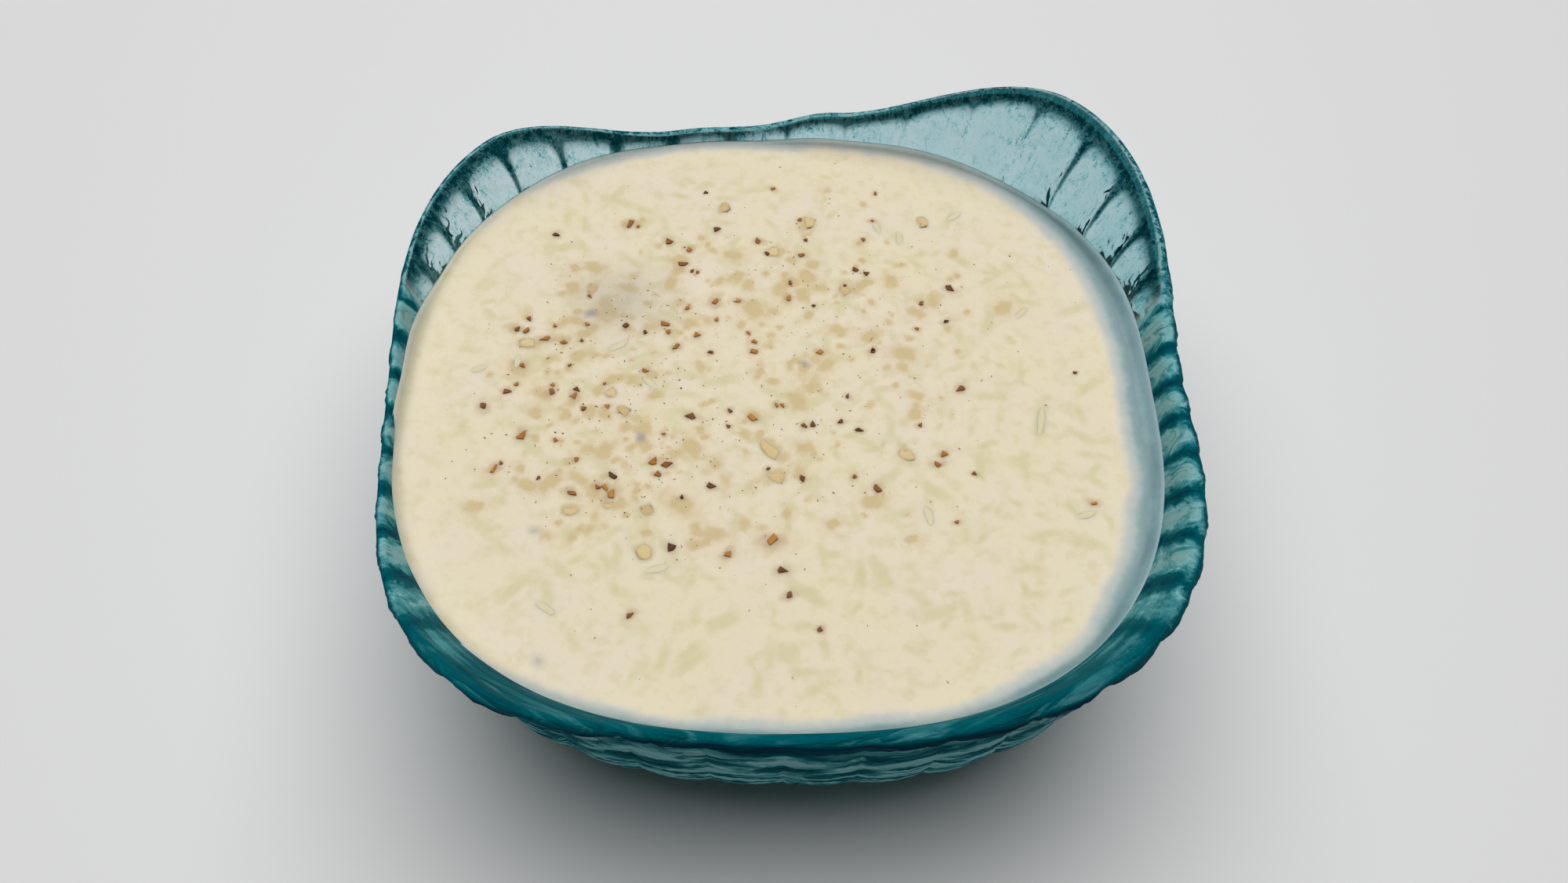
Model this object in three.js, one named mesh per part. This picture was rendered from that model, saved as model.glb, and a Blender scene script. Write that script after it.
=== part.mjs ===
// A square dessert bowl of pressed teal glass, filled with rice pudding.
// Millimetres, +Z up, +X to the right of whoever eats from it and -Y towards them.
// The origin is the middle of the flat foot that the bowl stands on.
//
// Each piece starts as a lathe of stacked rings. Every ring is then pulled out into a rounded
// square, and above the pudding the wall flares and its rim rises and dips.
import * as THREE from "three";

// Driving dimensions of the body of the bowl.
const FILL_HEIGHT = 36; // the pudding's surface, where the flare of the wall begins
const HALF_WIDTH = 63; // outside of the wall at that height, at the middle of a side
const FOOT_HALF_WIDTH = 34; // the flat foot, at the middle of a side
const FLOOR = 6; // glass under the pudding
const FLOOR_HALF_WIDTH = 30; // where the inside starts to curve up
const WALL = 2.9; // glass at the rim, on average
const WALL_UNEVEN = 1.1; // how much thicker it is at the right, and thinner at the left
const FLARE = 0.21; // how far the wall leans out above the pudding
const FLARE_POWER = 1.5;
const SQUARENESS = 2.5; // of the outline: 2 is a circle, and more is squarer

// The rim above the pudding, going round from +X. The corners rise and the sides dip between
// them, and no two are alike.
const RIM = [
  { name: "right side", angle: 1, rise: 2.9 },
  { name: "back right corner", angle: 49, rise: 12.2 },
  { name: "shoulder of that corner", angle: 82, rise: 3.3 },
  { name: "back side", angle: 97, rise: 0.9 },
  { name: "foot of the next corner", angle: 110, rise: 0.9 },
  { name: "back left corner", angle: 138, rise: 8 },
  { name: "left side", angle: 192, rise: 1.6 },
  { name: "front left corner", angle: 236, rise: 9.4 },
  { name: "front side", angle: 266, rise: 1.1 },
  { name: "front right corner", angle: 314, rise: 6.8 },
];

// Flutes run down the outside, with round crests and sharp valleys. They are closest together at
// the left and right, where they are deepest, and they fade out at the foot.
const FLUTES = 44;
const FLUTE_DEPTH = 0.9;
const FLUTE_CROWDING = 0.1; // 0 would space them evenly
const FLUTE_AT_FRONT = 0.35; // share of the depth left at the middle of the front and back
const FLUTE_START = 12; // full depth from this height up

// How finely the surfaces are divided.
const STEPS_PER_FLUTE = 4;
const PUDDING_STEPS = 96;
const BODY_RINGS = 6;
const FLARE_RINGS = 3;
const BEAD_STEPS = 4;

const CLEARANCE = 0.35; // between the pudding and the glass, which really touch

const smooth = (t) => t * t * (3 - 2 * t);

// Distance from the axis to a rounded square of half width 1, in the direction of an angle.
function roundedSquare(angle) {
  const x = Math.abs(Math.cos(angle)) ** SQUARENESS;
  const y = Math.abs(Math.sin(angle)) ** SQUARENESS;
  return (x + y) ** (-1 / SQUARENESS);
}

// Height of the rim above the pudding at an angle: an easy curve from each station to the next.
function rimRise(angle) {
  const first = RIM[0].angle;
  const degrees = THREE.MathUtils.radToDeg(angle);
  const here = first + THREE.MathUtils.euclideanModulo(degrees - first, 360);
  const stations = [...RIM, { angle: first + 360, rise: RIM[0].rise }];
  const next = stations.findIndex((station) => station.angle > here);
  const [from, to] = [stations[next - 1], stations[next]];
  const share = (here - from.angle) / (to.angle - from.angle);
  return from.rise + (to.rise - from.rise) * smooth(share);
}

const wallAt = (angle) => WALL + WALL_UNEVEN * Math.cos(angle);

// A place round the bowl: its angle, and how far the outer face is cut in there by a flute.
// The turn runs evenly from flute to flute, and the angle crowds them towards the sides.
function placeAt(turn) {
  const angle = turn - FLUTE_CROWDING * Math.sin(2 * turn);
  const valley = 1 - Math.abs(Math.sin((turn * FLUTES) / 2));
  const strength = FLUTE_AT_FRONT + (1 - FLUTE_AT_FRONT) * Math.abs(Math.cos(angle));
  return { angle, cut: FLUTE_DEPTH * strength * valley };
}

const fadeIn = (height) => smooth(Math.min(1, height / FLUTE_START));

// The side of the body below the pudding's level is a quarter of an ellipse, from the floor at
// along = 0 to upright at along = 1.
function quarterEllipse(along, bottom, bottomHalfWidth, topHalfWidth) {
  const turn = (along * Math.PI) / 2;
  return {
    halfWidth: bottomHalfWidth + (topHalfWidth - bottomHalfWidth) * Math.sin(turn),
    height: bottom + (FILL_HEIGHT - bottom) * (1 - Math.cos(turn)),
  };
}

// Rings of the bowl. Each is a function from a place to the ring's radius and height there.
const onAxis = (height) => () => ({ radius: 0, height });

const outerBody = (along) => (place) => {
  const { halfWidth, height } = quarterEllipse(along, 0, FOOT_HALF_WIDTH, HALF_WIDTH);
  return { radius: halfWidth * roundedSquare(place.angle) - place.cut * fadeIn(height), height };
};

const innerBody = (along, gap = 0) => (place) => {
  const top = HALF_WIDTH - wallAt(place.angle) - gap;
  const { halfWidth, height } = quarterEllipse(along, FLOOR + gap, FLOOR_HALF_WIDTH, top);
  return { radius: halfWidth * roundedSquare(place.angle), height };
};

// The flare from the pudding's level, share = 0, to the rim, share = 1, and the round bead on the
// rim. A bead of 0 is on the outer face, and pi is on the inner face.
const flare = (share, bead) => (place) => {
  const above = rimRise(place.angle) * share;
  const lean = Math.atan(FLARE_POWER * FLARE * above ** (FLARE_POWER - 1));
  const half = wallAt(place.angle) / 2;
  const inward = half * (1 - Math.cos(bead));
  const past = half * Math.sin(bead);
  const outline = HALF_WIDTH * roundedSquare(place.angle) + FLARE * above ** FLARE_POWER;
  const cut = place.cut * Math.max(0, Math.cos(bead));
  return {
    radius: outline - inward * Math.cos(lean) + past * Math.sin(lean) - cut,
    height: FILL_HEIGHT + above + inward * Math.sin(lean) + past * Math.cos(lean),
  };
};

// A lathe of as many steps and rings as asked for, whose vertices are then moved to their rings.
function turned(rings, steps) {
  const isPole = (index) => index === 0 || index === rings.length - 1;
  const section = rings.map((_, index) => new THREE.Vector2(isPole(index) ? 0 : 1, index));
  const geometry = new THREE.LatheGeometry(section, steps);
  const position = geometry.getAttribute("position");
  for (let i = 0; i < position.count; i++) {
    const step = Math.floor(i / rings.length) % steps;
    const place = placeAt((step * 2 * Math.PI) / steps);
    const { radius, height } = rings[i % rings.length](place);
    position.setXYZ(i, radius * Math.cos(place.angle), radius * Math.sin(place.angle), height);
  }
  geometry.computeVertexNormals();
  return geometry;
}

const series = (count, make) => Array.from({ length: count }, (_, index) => make(index));

function bowlGeometry() {
  const outside = series(BODY_RINGS + 1, (i) => outerBody(i / BODY_RINGS));
  const flareUp = series(FLARE_RINGS, (i) => flare((i + 1) / FLARE_RINGS, 0));
  const bead = series(BEAD_STEPS - 1, (i) => flare(1, ((i + 1) * Math.PI) / BEAD_STEPS));
  const flareDown = series(FLARE_RINGS, (i) => flare(1 - i / FLARE_RINGS, Math.PI));
  const inside = series(BODY_RINGS + 1, (i) => innerBody(1 - i / BODY_RINGS));
  const walls = [...outside, ...flareUp, ...bead, ...flareDown, ...inside];
  return turned([onAxis(0), ...walls, onAxis(FLOOR)], FLUTES * STEPS_PER_FLUTE);
}

function puddingGeometry() {
  const side = series(BODY_RINGS + 1, (i) => innerBody(i / BODY_RINGS, CLEARANCE));
  return turned([onAxis(FLOOR + CLEARANCE), ...side, onAxis(FILL_HEIGHT)], PUDDING_STEPS);
}

const glass = new THREE.MeshStandardMaterial({
  color: 0x0f7078,
  roughness: 0.08,
  metalness: 0,
  transparent: true,
  opacity: 0.6,
});
const cream = new THREE.MeshStandardMaterial({ color: 0xe6dcc0, roughness: 0.35, metalness: 0 });

function piece(name, geometry, material) {
  const mesh = new THREE.Mesh(geometry, material);
  mesh.name = name;
  return mesh;
}

const dessert = new THREE.Group();
dessert.add(piece("bowl", bowlGeometry(), glass));
dessert.add(piece("pudding", puddingGeometry(), cream));

export default dessert;
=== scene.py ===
# %% [markdown]
# # Rice pudding in a square glass bowl
#
# A helping of rice pudding fills a thick, pressed bowl of teal glass. The solid model of both is
# already there, at its true size, and this lesson dresses it: first the glass, then the pudding,
# then the rice, nuts and spice that float in it, and last the table, the light and the camera.
# Everything is in metres, with +Z up and whoever eats from the bowl on the -Y side.

# %% Load the solid model
import math
import random

import bmesh
import bpy
from mathutils import Matrix, Vector, kdtree, noise


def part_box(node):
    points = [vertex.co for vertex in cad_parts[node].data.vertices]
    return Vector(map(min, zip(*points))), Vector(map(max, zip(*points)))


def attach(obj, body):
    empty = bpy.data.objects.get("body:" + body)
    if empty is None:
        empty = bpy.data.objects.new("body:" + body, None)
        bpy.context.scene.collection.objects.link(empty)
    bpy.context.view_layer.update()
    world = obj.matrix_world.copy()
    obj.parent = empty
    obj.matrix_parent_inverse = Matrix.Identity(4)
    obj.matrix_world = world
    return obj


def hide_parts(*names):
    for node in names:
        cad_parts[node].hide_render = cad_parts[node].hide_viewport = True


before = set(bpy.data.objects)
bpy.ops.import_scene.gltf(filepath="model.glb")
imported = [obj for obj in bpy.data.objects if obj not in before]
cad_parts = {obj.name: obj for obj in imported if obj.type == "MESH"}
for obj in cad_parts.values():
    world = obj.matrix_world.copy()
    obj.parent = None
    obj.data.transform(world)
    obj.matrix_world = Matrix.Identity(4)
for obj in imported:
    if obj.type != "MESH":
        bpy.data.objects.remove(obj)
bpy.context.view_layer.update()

# %% [markdown]
# ## What the solid model gives, and what it doesn't
#
# A box round the pudding tells where its level is and how wide the bowl is there. The rest are
# the same driving dimensions that the solid model has: how thick the wall is, how it flares, and
# how high the rim stands above the pudding on its way round. The rim of a bowl like this is never
# level: it rises at the four corners and sinks between them.

# %% Driving dimensions
MM = 0.001
TURN = 2 * math.pi

pudding_low, pudding_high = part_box("pudding")
GAP = 0.35 * MM  # what the solid pudding keeps to the glass
WALL = 2.9 * MM
WALL_UNEVEN = 1.1 * MM  # thicker at the right, thinner at the left
LEVEL = pudding_high.z
FLOOR = pudding_low.z - GAP
HALF_WIDTH = pudding_high.y + GAP + WALL
FLOOR_HALF_WIDTH = 30 * MM
FOOT_HALF_WIDTH = 34 * MM
SQUARENESS = 2.5
FLARE = 0.21 * MM  # how far the wall has leant out 1 mm above the level
FLARE_POWER = 1.5

# Angle from +X in degrees, and the rim's height above the level there.
RIM = [
    (1, 2.9 * MM),
    (49, 12.2 * MM),
    (82, 3.3 * MM),
    (97, 0.9 * MM),
    (110, 0.9 * MM),
    (138, 8.0 * MM),
    (192, 1.6 * MM),
    (236, 9.4 * MM),
    (266, 1.1 * MM),
    (314, 6.8 * MM),
]

print(f"Level {LEVEL / MM:.1f} mm, half width {HALF_WIDTH / MM:.1f} mm, floor {FLOOR / MM:.1f} mm")

# %% [markdown]
# ## Going round the bowl
#
# Nearly every shape here is a function of the angle. The outline is a superellipse: a circle has
# power 2, a square has a very high one, and 2.5 is a rounded square with a slight bulge in its
# sides. Heights are given at a few stations, with an easy curve from each to the next, so a
# station moves without anything else having to.

# %% Curves round the bowl
def smooth(share):
    """0 below 0 and 1 above 1, with an easy curve between them."""
    share = min(1.0, max(0.0, share))
    return share * share * (3 - 2 * share)


def blend(low, high, share):
    return low + (high - low) * share


def round_the_bowl(stations, angle):
    """The value at an angle in radians, from a list of (degrees, value)."""
    first = stations[0][0]
    here = first + (math.degrees(angle) - first) % 360
    closed = stations + [(first + 360, stations[0][1])]
    for (start, low), (end, high) in zip(closed, closed[1:]):
        if here < end:
            return blend(low, high, smooth((here - start) / (end - start)))
    return stations[0][1]


def rounded_square(angle):
    """How far out the outline is in that direction, for a half width of 1."""
    x = abs(math.cos(angle)) ** SQUARENESS
    y = abs(math.sin(angle)) ** SQUARENESS
    return (x + y) ** (-1 / SQUARENESS)


def rim_rise(angle):
    return round_the_bowl(RIM, angle)


def wall_at(angle):
    return WALL + WALL_UNEVEN * math.cos(angle)


def quarter_ellipse(along, bottom, bottom_half_width, top_half_width):
    """The side of the bowl, from its bottom, 0, to the level, 1, as a half width and a height."""
    turn = along * TURN / 4
    half_width = blend(bottom_half_width, top_half_width, math.sin(turn))
    return half_width, blend(bottom, LEVEL, 1 - math.cos(turn))


print("Rim heights at the four sides:",
      [round(rim_rise(math.radians(a)) / MM, 1) for a in (0, 90, 180, 270)], "mm")

# %% [markdown]
# ## Helpers for materials
#
# A material is a tree of nodes. In the editor it is drawn with the mouse, and in a script each
# node is one call: these helpers make a node, set its fields and link its inputs in one go, so
# that a material reads from top to bottom, from the pattern to the colour.

# %% Helpers for materials
def new_material(name):
    material = bpy.data.materials.new(name)
    material.use_nodes = True
    tree = material.node_tree
    return tree, tree.nodes["Principled BSDF"], material


def add(tree, kind, inputs=(), **settings):
    """Adds a shader node. Each input is a (socket, value) pair, where a value may be an output."""
    node = tree.nodes.new("ShaderNode" + kind)
    for name, value in settings.items():
        setattr(node, name, value)
    for socket, value in inputs:
        if isinstance(value, bpy.types.NodeSocket):
            tree.links.new(value, node.inputs[socket])
        else:
            node.inputs[socket].default_value = value
    return node


def calculate(tree, operation, first, second):
    return add(tree, "Math", [(0, first), (1, second)], operation=operation).outputs[0]


def painted(tree, name, output="Fac"):
    """A value that the mesh carries at each of its vertices."""
    return add(tree, "Attribute", attribute_name=name).outputs[output]


def noise_texture(tree, vector, scale, detail, roughness=0.5, distortion=0.0, **settings):
    node = add(tree, "TexNoise", [
        ("Vector", vector), ("Scale", scale), ("Detail", detail), ("Roughness", roughness),
        ("Distortion", distortion)], **settings)
    return node.outputs["Fac"]


def stretched(tree, value, given, wanted, **settings):
    """Maps one range, a (start, end) pair, onto another, and stays inside it."""
    node = add(tree, "MapRange", [
        ("Value", value), ("From Min", given[0]), ("From Max", given[1]), ("To Min", wanted[0]),
        ("To Max", wanted[1])], **settings)
    return node.outputs[0]


def colours(tree, factor, stops):
    """A colour ramp, from a list of (position, red, green, blue)."""
    ramp = add(tree, "ValToRGB", [("Fac", factor)])
    elements = ramp.color_ramp.elements
    for extra in stops[2:]:
        elements.new(extra[0])
    for element, (position, *colour) in zip(elements, stops):
        element.position = position
        element.color = (*colour, 1)
    return ramp.outputs["Color"]


print("Helpers are ready")

# %% [markdown]
# ## The flutes and the crinkles of the pressed glass
#
# A mould leaves two things on the outside of such a bowl. Flutes with round crests and sharp
# valleys run from the rim to the foot, and each flute is crinkled like bark, most of all near the
# rim. Both are real relief. A bump map alone would leave the outline of the bowl smooth, and
# glass shows its relief by bending light, which needs the true surface.
#
# Both only cut into the glass, so the bowl stays inside the solid model.

# %% Relief of the outside
FLUTES = 44
FLUTE_DEPTH = 0.9 * MM
FLUTE_CROWDING = 0.1  # how much closer the flutes are at two opposite corners
FLUTE_AT_FRONT = 0.35  # how deep they are at the front and back, of 1 at the sides
FLUTE_START = 12 * MM
GROOVE_DEPTH = 0.25 * MM  # the sharp bottom of each valley
GROOVE_SHARPNESS = 5
CRINKLE_DEPTH = 0.4 * MM
CRINKLE_LENGTH = 2.8 * MM
CRINKLE_ACROSS = 1.7 * MM
BOW = 2.4 * MM  # crinkles bow towards the rim on each crest
noise.seed_set(11)  # otherwise noise_vector takes its seed from the clock


class Place:
    """One direction from the axis: its angle, and what the flute does there."""

    def __init__(self, turn):
        self.angle = turn - FLUTE_CROWDING * math.sin(2 * turn)
        self.crest = abs(math.sin(turn * FLUTES / 2))
        self.strength = blend(FLUTE_AT_FRONT, 1, abs(math.cos(self.angle)))
        self.valley = 1 - self.crest
        groove = GROOVE_DEPTH * self.valley ** GROOVE_SHARPNESS
        self.cut = self.strength * (FLUTE_DEPTH * self.valley + groove)
        self.back = smooth((math.sin(self.angle) - 0.12) / 0.3)
        self.front = smooth((-math.sin(self.angle) - 0.5) / 0.35)
        self.side = 1 - self.back - self.front

    def at(self, radius, height):
        return Vector((radius * math.cos(self.angle), radius * math.sin(self.angle), height))


def plain_place(angle):
    """A direction for the inside of the bowl, which has no flutes."""
    place = Place(0)
    place.angle = angle
    return place


def grain_of_glass(place, radius, height):
    """Where a spot lies in the pattern of the crinkles, which is drawn out along the flutes."""
    spot = place.at(radius, height - BOW * place.crest)
    return Vector((spot.x / CRINKLE_ACROSS, spot.y / CRINKLE_ACROSS, spot.z / CRINKLE_LENGTH))


def crinkle(place, radius, height):
    """How deep the bark-like crinkles cut, from 0 to 1."""
    spot = grain_of_glass(place, radius, height)
    spot += noise.noise_vector(spot * 0.6) * 0.7
    return min(1.0, abs(noise.noise(spot)) * 1.5 + abs(noise.noise(spot * 2.3)) * 0.8)


def crinkle_strength(place, height):
    """Full at the rim, nothing at the foot, and faint on the smooth back."""
    near_rim = smooth((height - LEVEL + 4 * MM) / (9 * MM))
    from_foot = smooth(height / FLUTE_START)
    smooth_back = smooth((math.sin(place.angle) - 0.45) / 0.4) * (1 - 0.8 * near_rim)
    return from_foot * blend(0.45, 1.0, near_rim) * (1 - 0.7 * smooth_back)


print(f"Flutes are {TURN * HALF_WIDTH / FLUTES / MM:.1f} mm apart on average")

# %% [markdown]
# ## Dark and pale places in the glass
#
# Glass takes its colour from its depth, so a pressed bowl isn't one teal. The rim is seen along
# the glass and is nearly navy, the valleys of the flutes show as dark lines, and the thin wall at
# the back is a pale aqua. A wall of three millimetres can't get that range from absorption alone:
# the rest is the dark that glass shows where it bends the view away from the light, and here that
# part is painted shade. So this step works out how deep the colour and the painted shade are at
# each place, from 0 to 1, and the mesh carries it to the material.

# %% Depth of colour
BAND = 1.4 * MM  # how far the dark colour of the rim reaches down

# How plainly the dark valleys show through from inside, by angle: hardly at the tall corner.
LINES = [(20, 1.0), (44, 0.9), (56, 0.15), (84, 0.15), (104, 0.7), (120, 1.0), (170, 1.0)]


def back_depth_and_shade(place, band, below_rim, over_rim):
    """Pale, with a dark band at the rim and dark valleys that fade downwards."""
    lines = round_the_bowl(LINES, place.angle)
    wisps = 0.2 * lines * math.exp(-below_rim / BAND / 4)
    valley = place.valley ** 6 * lines * (1 - smooth(below_rim / (20 * MM)))
    outside = min(0.62, band + wisps + 0.68 * valley)
    return blend(outside, 0.05, smooth(over_rim * 3.3 - 2.3))


def side_depth_and_shade(place, band, over_rim):
    """Teal crests and navy valleys, under a dark rim."""
    flutes = 0.38 + 0.5 * place.valley ** 1.2
    return blend(flutes, 0.8, 1.8 * band * (1 - smooth(over_rim * 2.5 - 1)))


def front_depth_and_shade(below_rim, over_rim):
    """Teal, with a navy line of painted shade under the rim and a painted highlight where its round
    catches the light.
    """
    # The navy line is painted shade, for the dark that the bead's refraction shows.
    navy = 1 - smooth(below_rim / (2 * MM))
    # A painted highlight along the round of the bead.
    shine = max(0.0, 1 - abs(over_rim - 0.4) / 0.12)
    outside = blend(0.55, 1.0, navy)
    return blend(outside, 0.68, smooth(over_rim * 3 - 0.7)) - 0.2 * shine


# Partly the glass's own depth of colour, partly painted shade where the glass bends the view away
# from the light.
def colour_depth_and_shade(place, below_rim, over_rim):
    """From 0, pale, to 1, navy. Over the rim, 0 is outside and 1 is inside."""
    band = blend(0.38, 0.54, smooth(rim_rise(place.angle) / (5 * MM)))
    band *= math.exp(-below_rim / BAND)
    below_level = below_rim - rim_rise(place.angle)
    clear = place.back * (1 - smooth((below_level + 0.5 * MM) / (4 * MM)))
    return (
        back_depth_and_shade(place, band, below_rim, over_rim) * clear
        + side_depth_and_shade(place, band, over_rim) * (1 - clear - place.front)
        + front_depth_and_shade(below_rim, over_rim) * place.front
    )


for name, degrees in (("right", 0), ("back", 90), ("left", 180), ("front", 270)):
    place = plain_place(math.radians(degrees))
    print(f"{name}: {colour_depth_and_shade(place, 1 * MM, 0):.2f} deep just under the rim")

# %% [markdown]
# ## The bowl
#
# A bowl is turned, like a vase on a wheel, so spin is the tool. The spun section is only a
# ladder of numbered rings of radius 1. After the spin each vertex knows its ring from its height
# and its direction from its place on the circle, and moves to where the glass has that ring.
# Each kind of ring is a function of the direction, so the flutes, the crinkles and the uneven rim
# all come in the same way.

# %% Rings of the bowl
def on_axis(height):
    return lambda place: (0.0, height, 0.0)


def outer_body(along):
    """The outside below the level, from the foot, 0, to the level, 1."""
    def ring(place):
        half_width, height = quarter_ellipse(along, 0, FOOT_HALF_WIDTH, HALF_WIDTH)
        radius = half_width * rounded_square(place.angle)
        depth = CRINKLE_DEPTH * crinkle_strength(place, height) * crinkle(place, radius, height)
        radius -= place.cut * smooth(height / FLUTE_START) + depth
        return radius, height, colour_depth_and_shade(place, rim_rise(place.angle) + LEVEL - height, 0)
    return ring


def inner_body(along, into_glass=0.0):
    """The inside below the level, from the bowl's floor, 0, to the level, 1."""
    def ring(place):
        top = HALF_WIDTH - wall_at(place.angle) + into_glass
        floor = FLOOR - into_glass
        half_width, height = quarter_ellipse(along, floor, FLOOR_HALF_WIDTH, top)
        return half_width * rounded_square(place.angle), height, 0.0
    return ring


def flare(share, bead, into_glass=0.0):
    """From the level, share 0, to the rim, share 1. A bead of 0 is outside and pi is inside."""
    def ring(place):
        above = rim_rise(place.angle) * share
        steepness = FLARE_POWER * FLARE / MM * max(above / MM, 0.0) ** (FLARE_POWER - 1)
        lean = math.atan(steepness)
        half = wall_at(place.angle) / 2
        inward = half * (1 - math.cos(bead)) - into_glass
        past = half * math.sin(bead)
        outline = HALF_WIDTH * rounded_square(place.angle)
        outline += FLARE * (above / MM) ** FLARE_POWER
        outside = max(0.0, math.cos(bead))
        height = LEVEL + above
        below_rim = rim_rise(place.angle) - above
        colour = colour_depth_and_shade(place, below_rim, (1 - math.cos(bead)) / 2)
        depth = 0.0
        if outside:
            depth = CRINKLE_DEPTH * crinkle_strength(place, height)
            depth *= crinkle(place, outline, height) * outside
        radius = outline - inward * math.cos(lean) + past * math.sin(lean)
        radius -= place.cut * outside + depth
        return radius, height + inward * math.sin(lean) + past * math.cos(lean), colour
    return ring


radius, height, _ = flare(1, 0)(plain_place(math.radians(49)))
print(f"The tallest corner is {radius / MM:.1f} mm out and {height / MM:.1f} mm high")

# %% [markdown]
# ## From rings to a closed mesh
#
# Besides its place, each vertex stores a few numbers for the material: how deep the colour and
# the painted shade are, how strongly the pattern shows, how much relief there is, and where the
# vertex lies in the patterns. Stored numbers stick to the glass, and there is nothing to unwrap.

# %% Spinning and finishing
def finished(name, bm, smooth_faces=True):
    """Makes an object of a bmesh, with its faces turned outwards."""
    bmesh.ops.recalc_face_normals(bm, faces=bm.faces)
    for face in bm.faces:
        face.smooth = smooth_faces
    mesh = bpy.data.meshes.new(name)
    bm.to_mesh(mesh)
    bm.free()
    piece = bpy.data.objects.new(name, mesh)
    bpy.context.scene.collection.objects.link(piece)
    print(f"{name}: {len(mesh.polygons)} faces")
    return piece


def spun_ladder(rings, steps):
    """A tube of numbered rungs: radius 1, or 0 at both ends, and as high as the number."""
    bm = bmesh.new()
    poles = (0, len(rings) - 1)
    section = [bm.verts.new((0 if i in poles else 1, 0, i)) for i in range(len(rings))]
    edges = [bm.edges.new(pair) for pair in zip(section, section[1:])]
    bmesh.ops.spin(bm, geom=section + edges, cent=(0, 0, 0), axis=(0, 0, 1), dvec=(0, 0, 0),
                   angle=TURN, steps=steps, use_merge=True)
    bmesh.ops.remove_doubles(bm, verts=bm.verts, dist=1e-4)
    return bm


def relief_here(place, height, is_outside):
    if is_outside:
        return crinkle_strength(place, height) * (1 - 0.6 * place.front)
    if height > LEVEL:
        return 0.3 * place.side + 0.2 * place.front
    return 0.0


def contrast_here(place, height):
    # Below the level at the front the contrast is highest, to bring out the painted highlights of
    # the streaks.
    below = smooth((LEVEL - height) / (2 * MM))
    return 1.5 * place.back + 0.9 * place.side + blend(0.6, 2.0, below) * place.front


def turned(name, rings, steps, outside_rings):
    """A closed shape of numbered rings, the first and last of them on the axis."""
    bm = spun_ladder(rings, steps)
    places = [Place(TURN * step / steps) for step in range(steps)]
    relief, deep_and_shaded, contrast, front = (
        bm.verts.layers.float.new(layer) for layer in ("relief", "deep_and_shaded", "contrast", "front"))
    flow = bm.verts.layers.float_vector.new("flow")
    around = bm.verts.layers.float_vector.new("around")
    for vert in bm.verts:
        place = places[round(math.atan2(vert.co.y, vert.co.x) / TURN * steps) % steps]
        number = round(vert.co.z)
        radius, height, colour = rings[number](place)
        vert.co = place.at(radius, height)
        vert[relief] = relief_here(place, height, number < outside_rings)
        vert[deep_and_shaded] = colour
        vert[contrast] = contrast_here(place, height)
        vert[front] = place.front
        vert[flow] = grain_of_glass(place, radius, height)
        vert[around] = (place.angle * 6, radius / (1.9 * MM), height / (1.8 * MM))
    return finished(name, bm)


print("Ready to spin")

# %% [markdown]
# ## Turning it
#
# The rings go once round the section: up the outside, over the bead of the rim, and down the
# inside to the floor. The outside has the most of them, because the crinkles need a vertex about
# every half millimetre.

# %% Turn the bowl
STEPS_PER_FLUTE = 14
BEAD_RINGS_OUTSIDE = 10  # as many rings of the bead count as outside


def shares(count, start=0.0, end=1.0):
    """Evenly spaced numbers that leave out the start and take in the end."""
    return [blend(start, end, (i + 1) / count) for i in range(count)]


outside = [outer_body(0)] + [outer_body(share) for share in shares(70)]
rim_up = [flare(share, 0) for share in shares(20)]
bead = [flare(1, turn) for turn in shares(12, 0, math.pi)]
rim_down = [flare(share, math.pi) for share in shares(8, 1, 0)]
inside = [inner_body(share) for share in shares(14, 1, 0)]
rings = [on_axis(0), *outside, *rim_up, *bead, *rim_down, *inside, on_axis(FLOOR)]
outside_rings = 1 + len(outside) + len(rim_up) + BEAD_RINGS_OUTSIDE
bowl = turned("glass_bowl", rings, FLUTES * STEPS_PER_FLUTE, outside_rings)
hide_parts("bowl")
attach(bowl, "root")

# %% [markdown]
# ## Patterns in the glass
#
# Pressed glass is never even. On the back and the sides its crinkles show as wisps and fine
# hairs that run along the flutes. At the front they show as long streaks that follow the outline
# like ledges, and their pale parts are painted highlights, where the ledges catch the light and
# mirror the floor. Both are noise, read on coordinates that the mesh carries: squeezing a
# coordinate draws the noise out the other way. A little painted contrast says how strong each is.

# %% Patterns in the glass
def wisps_and_hairs(tree, contrast):
    """Wisps, with fine hairs on top that come out as the contrast goes past 1."""
    flow = painted(tree, "flow", "Vector")
    wisps = noise_texture(tree, flow, 0.55, 5, 0.6, 1.5)
    hairs = noise_texture(tree, flow, 2.2, 4, 0.6, 2.0)
    hairs = calculate(tree, "SUBTRACT", hairs, 0.5)
    hairs = calculate(tree, "MULTIPLY", hairs, calculate(tree, "SUBTRACT", contrast, 1))
    return calculate(tree, "ADD", wisps, calculate(tree, "MULTIPLY", hairs, 2))


def bark_veins(tree):
    return noise_texture(tree, painted(tree, "flow", "Vector"), 0.9, 3, 0.55, 0.8,
                         noise_type="RIDGED_MULTIFRACTAL")


def ledges_and_highlights(tree):
    # Streaks for the relief of the ledges, and in the colour the painted highlights along them.
    return noise_texture(tree, painted(tree, "around", "Vector"), 1.0, 4, 0.5, 0.6)


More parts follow.
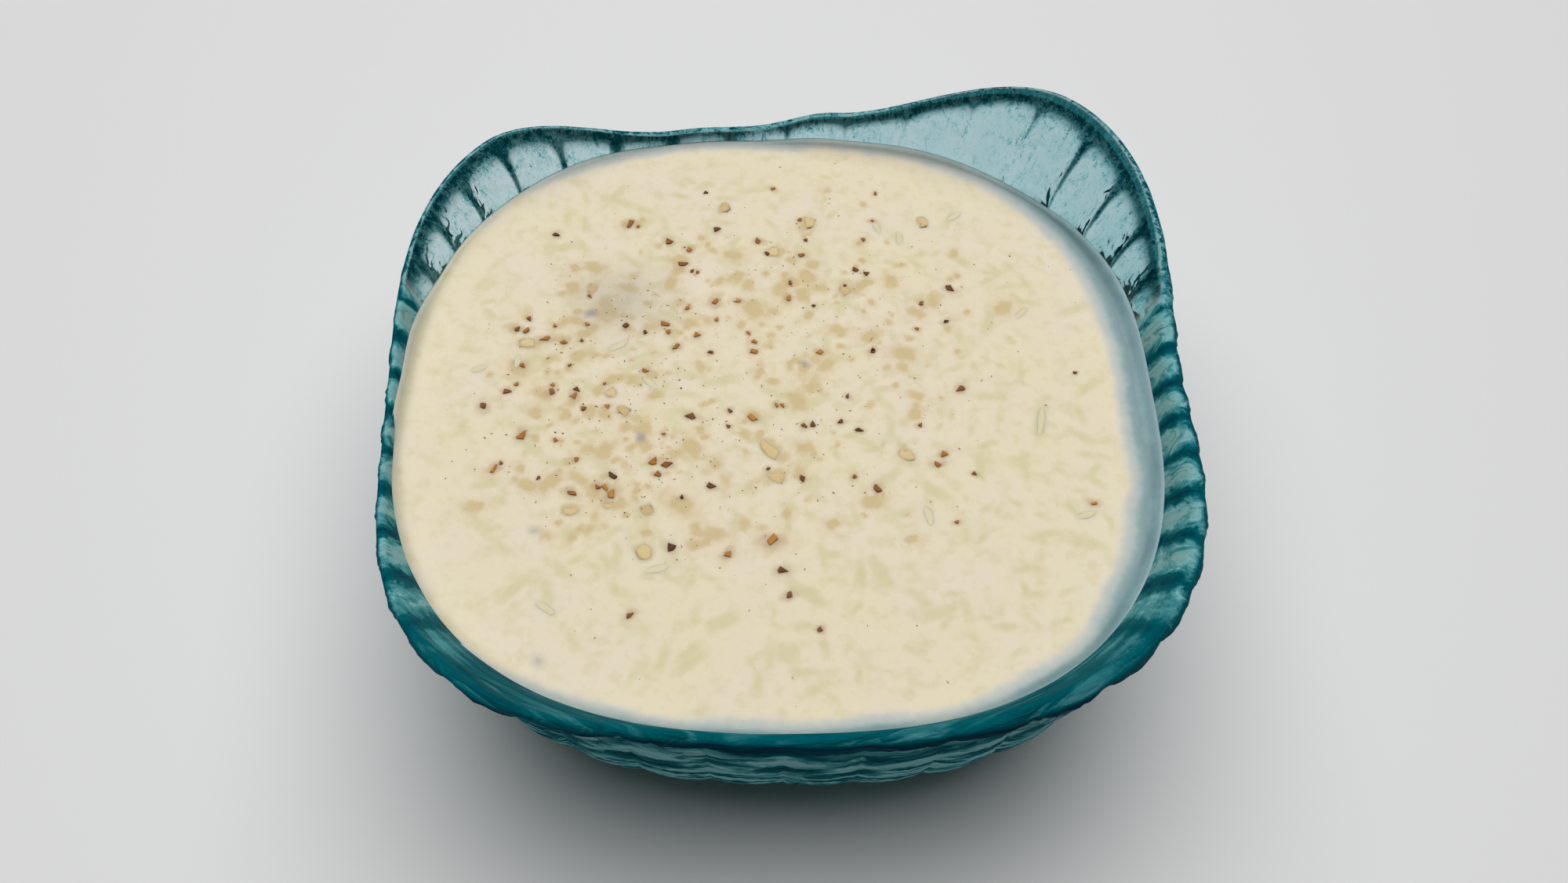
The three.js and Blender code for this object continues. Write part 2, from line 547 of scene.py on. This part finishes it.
def patterned_depth_and_shade(tree, veins, streaks, front):
    """The painted depth of colour and shade, with the patterns of the glass and their painted
    highlights added.
    """
    base = painted(tree, "deep_and_shaded")
    contrast = painted(tree, "contrast")
    crinkled = wisps_and_hairs(tree, contrast)
    pattern = add(tree, "Mix", [(0, front), (2, crinkled), (3, streaks)]).outputs[0]
    pattern = calculate(tree, "SUBTRACT", pattern, 0.5)
    pattern = calculate(tree, "MULTIPLY", pattern, contrast)
    cracks = stretched(tree, veins, (1.0, 1.8), (0.0, 0.22))
    cracks = calculate(tree, "MULTIPLY", cracks, painted(tree, "relief"))
    deep_and_shaded = calculate(tree, "ADD", base, calculate(tree, "ADD", pattern, cracks))
    least = stretched(tree, base, (0.2, 0.4), (0.0, 0.42))
    return calculate(tree, "MAXIMUM", deep_and_shaded, least)


print("The patterns are ready")

# %% [markdown]
# ## Teal glass
#
# The Principled shader does the bending and the gloss, and a Volume Absorption node takes off
# some colour on the way through. The rest of the colour is the painted depth and shade from above.
# A ramp turns it into a tint, from a pale aqua to navy, and it also turns the transmission down:
# deep glass swallows nearly all the light that enters it, and what comes back is its own teal.
# With full transmission everywhere, dark glass seen at a slant would mirror the white surroundings
# and look grey. The tint of the specular keeps its small reflections teal for the same reason.

# %% Glass
def teal_glass():
    tree, shader, material = new_material("teal_glass")
    shader.inputs["Roughness"].default_value = 0.02
    shader.inputs["IOR"].default_value = 1.5
    shader.inputs["Specular IOR Level"].default_value = 0.0
    shader.inputs["Specular Tint"].default_value = (0.06, 0.75, 0.85, 1)
    shader.inputs["Transmission Weight"].default_value = 1.0

    veins = bark_veins(tree)
    streaks = ledges_and_highlights(tree)
    front = painted(tree, "front")
    deep_and_shaded = patterned_depth_and_shade(tree, veins, streaks, front)
    tint = colours(tree, deep_and_shaded, [
        (0.0, 0.82, 0.87, 0.88),
        (0.22, 0.66, 0.79, 0.81),
        (0.38, 0.32, 0.61, 0.62),
        (0.48, 0.10, 0.36, 0.39),
        (0.66, 0.0, 0.115, 0.14),
        (1.0, 0.0, 0.03, 0.06)])
    tree.links.new(tint, shader.inputs["Base Color"])
    clear = stretched(tree, painted(tree, "deep_and_shaded"), (0.2, 0.44), (1.0, 0.08))
    tree.links.new(clear, shader.inputs["Transmission Weight"])

    crinkles = calculate(tree, "MULTIPLY", veins, painted(tree, "relief"))
    ledges = calculate(tree, "MULTIPLY", streaks, calculate(tree, "MULTIPLY", front, 4))
    height = calculate(tree, "ADD", crinkles, ledges)
    bump = add(tree, "Bump", [("Height", height), ("Distance", 0.35 * MM)])
    tree.links.new(bump.outputs["Normal"], shader.inputs["Normal"])

    depth = add(tree, "VolumeAbsorption", [("Color", (0.0, 0.68, 0.77, 1)), ("Density", 150)])
    tree.links.new(depth.outputs[0], tree.nodes["Material Output"].inputs["Volume"])
    return material


bowl.data.materials.append(teal_glass())
print("The bowl is glass:", len(bowl.data.materials[0].node_tree.nodes), "nodes")

# %% [markdown]
# ## What swims in the pudding
#
# Rice, nuts and spice are scattered before the pudding is made, because most of them lie just
# under the milk and only colour it. Each is no more than a place, a direction and a size. A few
# large bits that catch the eye are listed one by one, and the rest fall at random with a fixed
# seed: the rice everywhere, the nuts and the spice mostly left of the middle and behind it.

# %% A bit and a scatter of bits
chance = random.Random(11)


class Bit:
    """Something small in the pudding, lying along a direction given in degrees."""

    def __init__(self, x, y, length, width, turn=None, pick=None):
        self.x = x * MM
        self.y = y * MM
        self.length = length * MM
        self.width = width * MM
        self.turn = math.radians(chance.uniform(0, 180) if turn is None else turn)
        self.pick = chance.random() if pick is None else pick


def from_middle(x, y):
    """How far out a place is, as a share of the pudding's half width along its square rings."""
    reach = (abs(x) ** SQUARENESS + abs(y) ** SQUARENESS) ** (1 / SQUARENESS)
    return reach * MM / (HALF_WIDTH - WALL)


def scatter(count, length, width, clouds, edge=0.94):
    """Bits in round clouds of (x, y, spread), all inside the edge. Sizes are (least, most)."""
    bits = []
    while len(bits) < count:
        x, y, spread = chance.choice(clouds)
        x = chance.gauss(x, spread)
        y = chance.gauss(y, spread)
        if from_middle(x, y) < edge:
            size = chance.random() ** 1.6
            bits.append(Bit(x, y, blend(*length, size), blend(*width, size)))
    return bits


print("A place 30 mm right of the middle is", round(from_middle(30, 0), 2), "of the way out")

# %% Rice and nuts under the milk, and fine specks
EVERYWHERE = [(-30, 30, 24), (30, 30, 24), (-30, -30, 24), (30, -30, 24), (0, 0, 30)]
SPICED = [(-16, -8, 20), (-8, 30, 15), (-34, 6, 11), (14, 12, 22), (-8, -12, 14)]
NUTTY = [(-28, -6, 9), (-6, 18, 13), (-30, 18, 8), (4, -6, 14), (12, 22, 12), (-22, -20, 8)]

rice = scatter(360, (3, 9), (1.4, 2.6), EVERYWHERE, 0.9)
nuts = scatter(320, (0.9, 3.8), (0.8, 2.6), NUTTY, 0.85)
specks = scatter(480, (0.22, 0.7), (0.16, 0.45), SPICED + NUTTY)

# Listed one by one: grains near the front and the right that show plainly, and dull violet spots of
# spice.
rice += [
    Bit(41, -4, 11, 2.6, 80, 1),
    Bit(3, -37, 9, 2.6, -35, 1),
    Bit(14, -33, 8, 2.4, -60, 1),
    Bit(-9, -42, 7, 3, 30, 1),
    Bit(0, -47, 4, 4, 0, 1),
    Bit(22, -40, 8, 2.6, 20, 0.9),
]
violet = [
    Bit(-33, 17, 3, 2.2, 20, 1),
    Bit(-28, 20, 18, 16, 20, 0.2),
    Bit(-35, -49, 2.6, 2.2),
    Bit(-23, -9, 2, 1.6),
    Bit(-38, -27, 2.2, 1.6),
    Bit(3, 7, 2, 1.4),
]
print(len(rice), "grains of rice,", len(nuts), "bits of nut and", len(specks), "fine specks")

# %% Bits on top
# The first few are listed one by one: place, length, width, direction, and how light they are.
chips = [
    Bit(-27, -20, 3.2, 1.9, 55, 1.0),
    Bit(-2, -28, 3.4, 2.5, 0, 0.9),
    Bit(24, -13, 2.3, 1.2, 5, 0.7),
    Bit(25, -11, 1.8, 1.3, 40, 0.75),
    Bit(-40, 11, 2.6, 1.4, 20, 0.8),
    Bit(-45, 13, 2, 1.5, 50, 0.3),
    Bit(27, 17, 2, 1.2, 30, 0.0),
    Bit(-5, 35, 1.9, 1.6, 0, 0.6),
    Bit(5, -43, 1.5, 1.4, 0, 0.4),
    Bit(23, 21, 1.8, 1.4, 120, 0.5),
]
chips += scatter(105, (1.2, 2.6), (0.9, 1.8), SPICED, 0.84)
lumps = [
    Bit(-2, -11, 7, 3, -50, 0.6),
    Bit(-1.5, -16, 4.2, 3, 10, 0.5),
    Bit(10, 24, 4, 3.2, 60, 0.2),
    Bit(-21, -23, 3.6, 2.4, -50, 0.1),
    Bit(-33, 23, 3.4, 2.8, 20, 0.1),
    Bit(19, -11, 3.6, 2.6, -60, 0.7),
]
lumps += scatter(10, (2, 3.6), (1.5, 2.6), NUTTY, 0.8)
grains = [Bit(41, -4, 10, 1.7, 80, 0.5)] + scatter(12, (4.5, 7), (1.5, 2), EVERYWHERE, 0.85)
print("On top:", len(chips), "chips of nut skin,", len(lumps), "lumps and", len(grains), "grains")

# %% [markdown]
# ## Where the milk meets the glass
#
# At its edge the milk climbs the glass a little, most at the left, where it wets the whole rim.
# It also gets thin there, and thin milk over teal glass is bluish. The blue-grey band beside the
# glass, widest at the right, is also painted shadow of the rim. The climb and the thinning go round
# the bowl as stations, like the rim. The pudding's side reaches a hair into the glass, because a
# gap of air there would shine like a mirror.

# %% Edge of the milk
INTO_GLASS = 0.25 * MM
MENISCUS = 0.9 * MM

# Share of the flare that the milk wets. Past 1 it goes over the round of the rim.
WET = [
    (1, 0.3), (49, 0.04), (97, 0.35), (138, 0.05), (156, 0.1), (176, 0.6), (192, 1.2),
    (214, 0.5), (236, 0.08), (266, 0.35), (314, 0.15),
]

# How many millimetres from the glass the milk turns from creamy to its blue-grey edge: thin milk
# and painted shadow of the rim.
THIN_AND_SHADED = [
    (-20, 4.0), (20, 4.0), (45, 1.8), (65, 0.0), (90, 0.3), (115, 0.3), (140, -1.2),
    (165, -2.4), (205, -2.4), (225, -1.0), (250, 1.2), (290, 1.6), (310, 2.2), (325, 3.2),
]
THICK_INSIDE = 0.6  # thickness, from 0 to 1 and on, where it turns
THICKENING = 6  # millimetres over which it gains 1
THICK_SIDE = 0.05  # of the pudding's side, inside the glass


def waterline(place, into_glass=0.0):
    """Where the milk ends on the glass, as a radius, a height and a colour that isn't used."""
    share = round_the_bowl(WET, place.angle)
    over = max(0.0, share - 1)
    return flare(min(1, share), math.pi * (1 - over), into_glass)(place)


_, height, _ = waterline(plain_place(math.radians(192)))
print(f"The milk climbs {(height - LEVEL) / MM:.1f} mm at the left")

# %% [markdown]
# ## Painting soft shapes on the milk
#
# A grain that lies under a skin of milk has no edge, only a soft stain. It could be an image
# painted by hand. Here each kind gets a number at every vertex instead: 1 in the middle of a bit,
# falling to 0 past its outline. A KD-tree finds the vertices near a bit without trying them all.

# %% Painting soft shapes on the milk
def paint(bm, name, bits, grow, least=0.35):
    """Gives each vertex near a bit a value, at most 1 in the middle and 0 at the grown outline."""
    layer = bm.verts.layers.float.new(name)
    top = [vert for vert in bm.verts if vert.co.z > LEVEL - 0.1 * MM]
    tree = kdtree.KDTree(len(top))
    for index, vert in enumerate(top):
        tree.insert((vert.co.x, vert.co.y, 0), index)
    tree.balance()
    for bit in bits:
        reach = bit.length / 2 * grow
        cos, sin = math.cos(bit.turn), math.sin(bit.turn)
        for co, index, distance in tree.find_range((bit.x, bit.y, 0), reach):
            along = ((co.x - bit.x) * cos + (co.y - bit.y) * sin) / reach
            across = ((co.y - bit.y) * cos - (co.x - bit.x) * sin) / (bit.width / 2 * grow)
            value = 1 - (abs(along) ** 3 + abs(across) ** 3) ** (1 / 3)
            strength = blend(least, 1, bit.pick)
            top[index][layer] = max(top[index][layer], value * strength)


print("The longest grain is", round(max(bit.length for bit in rice) / MM, 1), "mm")

# %% [markdown]
# ## The pudding
#
# The pudding fills the bowl to its level. Its top is a fine grid, stretched to the rounded square
# of the bowl. A disc of rings and spokes would crowd its vertices in the middle, and a grid keeps
# them evenly spaced, so soft shapes can be painted anywhere. Its open edge is then extruded down
# the inside of the glass, ring by ring, and closed with one face at the bottom.

# %% Pudding
GRID = 232


def angle_of(vert):
    return math.atan2(vert.co.y, vert.co.x)


def milk_top(bm):
    """The level, with its climbing edge, and the painted thickness and shade of the milk at each
    vertex.
    """
    bmesh.ops.create_grid(bm, x_segments=GRID, y_segments=GRID, size=1)
    thickness_and_shade = bm.verts.layers.float.new("thickness_and_shade")
    for vert in bm.verts:
        share = max(abs(vert.co.x), abs(vert.co.y))
        place = plain_place(angle_of(vert))
        radius, height, _ = waterline(place)
        from_glass = (1 - share) * radius
        climb = (height - LEVEL) * math.exp(-from_glass / MENISCUS)
        vert.co = place.at(share * radius, LEVEL + climb)
        past_turn = from_glass / MM - round_the_bowl(THIN_AND_SHADED, place.angle)
        vert[thickness_and_shade] = THICK_INSIDE + past_turn / THICKENING


def milk_side(bm):
    """Extrudes the open edge down the inside of the glass, and closes it."""
    thickness_and_shade = bm.verts.layers.float["thickness_and_shade"]
    edge = [item for item in bm.edges if item.is_boundary]
    steps = [lambda place: waterline(place, INTO_GLASS), flare(0, math.pi, INTO_GLASS)]
    steps += [inner_body(share, INTO_GLASS) for share in shares(10, 1, 0)]
    for ring in steps:
        made = bmesh.ops.extrude_edge_only(bm, edges=edge)["geom"]
        edge = [item for item in made if isinstance(item, bmesh.types.BMEdge) and item.is_boundary]
        for vert in {vert for item in edge for vert in item.verts}:
            place = plain_place(angle_of(vert))
            vert.co = place.at(*ring(place)[:2])
            vert[thickness_and_shade] = THICK_SIDE
    bmesh.ops.edgeloop_fill(bm, edges=edge)


def pudding_shape():
    bm = bmesh.new()
    milk_top(bm)
    paint(bm, "rice", rice, 1.25)
    paint(bm, "nuts", nuts + lumps, 1.4)
    paint(bm, "halo", chips + nuts, 3.5)
    paint(bm, "brown", chips, 2.0, least=0.8)
    paint(bm, "violet", violet, 1.6)
    milk_side(bm)
    return finished("rice_pudding", bm)


pudding = pudding_shape()
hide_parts("pudding")
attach(pudding, "root")

# %% [markdown]
# ## Cream
#
# Light goes into milk, scatters under its skin and comes out softened, and subsurface scattering
# does that. The colour is laid on in layers, from below: cream with faint clouds, curds, a warm
# halo round nuts and spice, rice, nuts, brown stains round the chips and dull violet spots. Noise
# roughens the outline of each painted shape. Over all this goes the edge, where the ramp runs with
# the painted thickness and shade of the milk, from blue-grey at the glass to cream. The blue-grey
# is thin milk over teal glass and a painted shadow of the rim, and it is painted lighter right at
# the glass, against the shade that falls there.

# %% Stains in the milk
def tinted(tree, under, amount, colour):
    """Lays a colour over another, as much as the amount says."""
    if not isinstance(colour, bpy.types.NodeSocket):
        colour = (*colour, 1)
    mix = add(tree, "Mix", [(0, amount), (6, under), (7, colour)], data_type="RGBA")
    return mix.outputs[2]


def soft_spot(tree, name, ripple, start, end, most):
    """A painted shape with its outline broken up, from 0 to the most."""
    value = calculate(tree, "ADD", painted(tree, name), ripple)
    return stretched(tree, value, (start, end), (0.0, most), interpolation_type="SMOOTHSTEP")


def stained_milk(tree, place, clouds, ripple):
    milk = colours(tree, clouds, [
        (0.35, 0.83, 0.745, 0.58),
        (0.65, 0.83, 0.745, 0.53)])
    curds = stretched(tree, noise_texture(tree, place, 380, 4), (0.5, 0.75), (0.0, 0.7))
    milk = tinted(tree, milk, curds, (0.71, 0.62, 0.36))
    milk = tinted(tree, milk, soft_spot(tree, "halo", ripple, 0.1, 1.0, 0.6), (0.70, 0.52, 0.28))
    milk = tinted(tree, milk, soft_spot(tree, "rice", ripple, 0.0, 0.7, 0.7), (0.69, 0.63, 0.35))
    milk = tinted(tree, milk, soft_spot(tree, "nuts", ripple, 0.0, 0.5, 0.85), (0.66, 0.51, 0.24))
    milk = tinted(tree, milk, soft_spot(tree, "brown", ripple, 0.1, 0.8, 0.45), (0.45, 0.28, 0.13))
    return tinted(tree, milk, soft_spot(tree, "violet", 0.0, 0.0, 1.0, 0.85), (0.31, 0.28, 0.28))


print("The pudding has", len(pudding.data.vertices), "vertices to paint on")

# %% Cream
def milk_thickness_and_shade(tree, clouds, ripple):
    """The painted thickness and shade, made a little uneven."""
    swirl = calculate(tree, "MULTIPLY", calculate(tree, "SUBTRACT", clouds, 0.5), 0.5)
    uneven = calculate(tree, "ADD", swirl, calculate(tree, "MULTIPLY", ripple, 0.3))
    return calculate(tree, "ADD", painted(tree, "thickness_and_shade"), uneven)


def cream():
    tree, shader, material = new_material("cream")
    place = add(tree, "TexCoord").outputs["Object"]
    clouds = noise_texture(tree, place, 90, 4)
    ripple = calculate(tree, "SUBTRACT", noise_texture(tree, place, 700, 3), 0.5)
    ripple = calculate(tree, "MULTIPLY", ripple, 0.55)
    milk = stained_milk(tree, place, clouds, ripple)

    thickness_and_shade = milk_thickness_and_shade(tree, clouds, ripple)
    # Thin milk and painted shadow of the rim, painted lighter right at the glass against the shade
    # there.
    film_and_rim_shadow = colours(tree, thickness_and_shade, [
        (0.0, 0.36, 0.54, 0.58),
        (0.15, 0.26, 0.42, 0.45),
        (0.3, 0.20, 0.33, 0.35),
        (0.43, 0.24, 0.37, 0.385),
        (0.52, 0.34, 0.45, 0.44),
        (0.6, 0.46, 0.53, 0.51),
        (0.77, 0.60, 0.61, 0.55),
        (0.93, 0.72, 0.68, 0.58)])
    at_edge = stretched(tree, thickness_and_shade, (1.04, 0.75), (0.0, 1.0), interpolation_type="SMOOTHSTEP")
    tree.links.new(tinted(tree, milk, at_edge, film_and_rim_shadow), shader.inputs["Base Color"])

    shader.inputs["Roughness"].default_value = 0.35
    shader.inputs["Subsurface Weight"].default_value = 1.0
    shader.inputs["Subsurface Radius"].default_value = (1.0, 0.9, 0.7)
    shader.inputs["Subsurface Scale"].default_value = 2 * MM
    return material


pudding.data.materials.append(cream())
print("The cream takes", len(pudding.data.materials[0].node_tree.nodes), "nodes")

# %% [markdown]
# ## The bits on top
#
# Chips of nut skin, specks of spice, lumps of nut and a few grains of rice break the surface.
# Each kind is one joined mesh, and each bit in it is its own small closed shape. A convex hull
# round a handful of random points makes a good chip: flat faces and sharp corners, and never two
# alike. Lumps and grains are rounder, so they start as balls. All are sunk until only their tops
# show, since milk creeps over whatever floats in it.

# %% Small shapes
def lay_down(verts, bit, showing):
    """Turns a bit and sinks it in the pudding until only its top is showing."""
    top = max(vert.co.z for vert in verts)
    spot = Vector((bit.x, bit.y, LEVEL + showing - top))
    put = Matrix.Translation(spot) @ Matrix.Rotation(bit.turn, 4, "Z")
    for vert in verts:
        vert.co = put @ vert.co


def add_chip(bm, bit, thickness, corners):
    """A flat splinter: the hull of a ring of points, each with a smaller copy on the other side."""
    points = []
    for number in range(corners):
        turn = TURN * (number + chance.uniform(-0.4, 0.4)) / corners
        reach = chance.uniform(0.5, 1.15)
        side = thickness * (0.5 if number % 2 else -0.5)
        x = bit.length / 2 * reach * math.cos(turn)
        y = bit.width / 2 * reach * math.sin(turn)
        points.append(bm.verts.new((x, y, side)))
        points.append(bm.verts.new((x * 0.7, y * 0.7, -side)))
    hull = bmesh.ops.convex_hull(bm, input=points)
    bmesh.ops.delete(bm, geom=hull["geom_interior"], context="VERTS")
    return [vert for vert in points if vert.is_valid]


def add_ball(bm, bit, flatness, roughness, bend):
    """A rounded lump: a ball, squeezed, with its skin pushed in and out a little."""
    verts = bmesh.ops.create_icosphere(bm, subdivisions=2, radius=0.5)["verts"]
    for vert in verts:
        away = 1 + roughness * noise.noise(vert.co * 4 + Vector((bit.pick * 40, 0, 0)))
        x, y, z = vert.co * away
        y += bend * (x * x - 0.1)
        vert.co = (x * bit.length, y * bit.width, z * bit.width * flatness)
    return verts


def many(name, bits, make, showing, smooth_faces=False):
    """One mesh of many bits, each with its own shade from 0 to 1."""
    bm = bmesh.new()
    shade = bm.verts.layers.float.new("shade")
    for bit in bits:
        verts = make(bm, bit)
        lay_down(verts, bit, showing)
        for vert in verts:
            vert[shade] = bit.pick
    return finished(name, bm, smooth_faces)


print("The widest chip is", round(max(bit.length for bit in chips) / MM, 1), "mm long")

# %% [markdown]
# ## Four small finishes
#
# Up close no two bits have one colour. The shade that each bit carries runs it along a ramp, from
# its darkest kind to its lightest, and a fine noise varies it over the bit itself.

# %% Finishes of the bits
def simple_material(name, stops, roughness):
    """One colour ramp, run through by the shade of each bit and a little by noise."""
    tree, shader, material = new_material(name)
    place = add(tree, "TexCoord").outputs["Object"]
    swing = calculate(tree, "SUBTRACT", noise_texture(tree, place, 1500, 2), 0.5)
    shade = calculate(tree, "ADD", painted(tree, "shade"), calculate(tree, "MULTIPLY", swing, 0.5))
    tree.links.new(colours(tree, shade, stops), shader.inputs["Base Color"])
    shader.inputs["Roughness"].default_value = roughness
    shader.inputs["Specular IOR Level"].default_value = 0.2
    return material


skin = simple_material("nut_skin", [
    (0.0, 0.10, 0.042, 0.014),
    (0.5, 0.30, 0.115, 0.022),
    (1.0, 0.56, 0.24, 0.04)], 0.6)
spice = simple_material("ground_spice", [
    (0.0, 0.06, 0.033, 0.018),
    (0.5, 0.20, 0.10, 0.045),
    (1.0, 0.45, 0.27, 0.12)], 0.7)
nut = simple_material("chopped_nuts", [
    (0.0, 0.62, 0.45, 0.23),
    (0.5, 0.74, 0.55, 0.26),
    (1.0, 0.80, 0.65, 0.36)], 0.5)
cooked = simple_material("cooked_rice", [
    (0.0, 0.74, 0.67, 0.42),
    (1.0, 0.78, 0.71, 0.47)], 0.4)
print("Finishes:", ", ".join(finish.name for finish in (skin, spice, nut, cooked)))

# %% Chips, specks, lumps and grains
def chip(bm, bit):
    return add_chip(bm, bit, 0.4 * MM, 4)


def speck(bm, bit):
    return add_chip(bm, bit, 0.15 * MM, 3)


def lump(bm, bit):
    return add_ball(bm, bit, flatness=0.16, roughness=0.6, bend=1.2)


def grain(bm, bit):
    return add_ball(bm, bit, flatness=0.15, roughness=0.15, bend=0.8)


def place_in_pudding(piece, material):
    piece.data.materials.append(material)
    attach(piece, "root")


place_in_pudding(many("nut_skin_chips", chips, chip, 0.2 * MM), skin)
place_in_pudding(many("dark_specks", specks, speck, 0.08 * MM), spice)
place_in_pudding(many("nut_pieces", lumps, lump, 0.08 * MM, True), nut)
place_in_pudding(many("rice_grains", grains, grain, 0.03 * MM, True), cooked)

# %% [markdown]
# ## The table
#
# The bowl stands on a plain pale table, which catches its shadow. It is staged: it shows in the
# picture and isn't part of the object.

# %% Table
def table_top():
    bm = bmesh.new()
    bmesh.ops.create_grid(bm, x_segments=1, y_segments=1, size=2.0)
    table = finished("table", bm)
    tree, shader, material = new_material("white_table")
    shader.inputs["Base Color"].default_value = (0.8, 0.8, 0.8, 1)
    shader.inputs["Roughness"].default_value = 0.5
    table.data.materials.append(material)


table_top()

# %% [markdown]
# ## The light
#
# One very large, round diffuser hangs over the bowl and a little behind it, like a bright
# overcast sky. It is so wide that the shadow has no edge and only pools in front, under the
# bowl. A faint grey world fills in the darkest places.

# %% Light
DIFFUSER_WIDTH = 1.88
DIFFUSER_AWAY = 1.2
DIFFUSER_POWER = 20
DIFFUSER_HEIGHT = math.radians(75)
DIFFUSER_TURN = math.radians(3)


def area_light(name, place, aim, size, power):
    lamp = bpy.data.lights.new(name, "AREA")
    lamp.shape = "DISK"
    lamp.size = size
    lamp.energy = power
    holder = bpy.data.objects.new(name, lamp)
    holder.location = place
    holder.rotation_euler = (aim - place).to_track_quat("-Z", "Y").to_euler()
    bpy.context.scene.collection.objects.link(holder)


centre = Vector((0, 0, LEVEL))
overhead = Matrix.Rotation(DIFFUSER_TURN, 4, "Z") @ Matrix.Rotation(DIFFUSER_HEIGHT, 4, "X")
diffuser = centre + overhead @ Vector((0, DIFFUSER_AWAY, 0))
area_light("diffuser", diffuser, centre, DIFFUSER_WIDTH, DIFFUSER_POWER)

world = bpy.data.worlds.new("room")
bpy.context.scene.world = world
world.use_nodes = True
world.node_tree.nodes["Background"].inputs["Color"].default_value = (1, 1, 1, 1)
world.node_tree.nodes["Background"].inputs["Strength"].default_value = 0.04
bpy.context.scene.view_settings.view_transform = "Standard"
print("The diffuser hangs at", [round(part, 2) for part in diffuser], "m")

# %% [markdown]
# ## The camera
#
# The view is that of someone who stands at the table and looks down at the bowl, from close by.
# The camera is built up as a chain of moves, from its aim outwards: turn round the bowl, step
# before its middle, tip down, roll a little, and back away.

# %% Camera
CAMERA_DISTANCE = 230 * MM
CAMERA_ELEVATION = math.radians(52.9)
CAMERA_TURN = math.radians(-2.2)
CAMERA_TILT = math.radians(3.0)
CAMERA_AIM = 9.2 * MM  # before the middle of the pudding
FOCAL_LENGTH = 33.35  # millimetres, for a film 36 mm wide
FILM_WIDTH = 36


def place_camera():
    lens = bpy.data.cameras.new("camera")
    lens.lens = FOCAL_LENGTH
    lens.sensor_width = FILM_WIDTH
    lens.clip_start = 0.01
    camera = bpy.data.objects.new("camera", lens)
    bpy.context.scene.collection.objects.link(camera)
    camera.matrix_world = (
        Matrix.Rotation(CAMERA_TURN, 4, "Z")
        @ Matrix.Translation((0, -CAMERA_AIM, LEVEL))
        @ Matrix.Rotation(TURN / 4 - CAMERA_ELEVATION, 4, "X")
        @ Matrix.Rotation(CAMERA_TILT, 4, "Z")
        @ Matrix.Translation((0, 0, CAMERA_DISTANCE))
    )
    bpy.context.scene.camera = camera
    print("The camera is", round(camera.matrix_world.translation.z * 1000), "mm above the table")


place_camera()

# %% [markdown]
# ## The last step
#
# The dressed bowl has to stay as big as the solid model. The last step brings the scene up to date.

# %% Finish
bpy.context.view_layer.update()
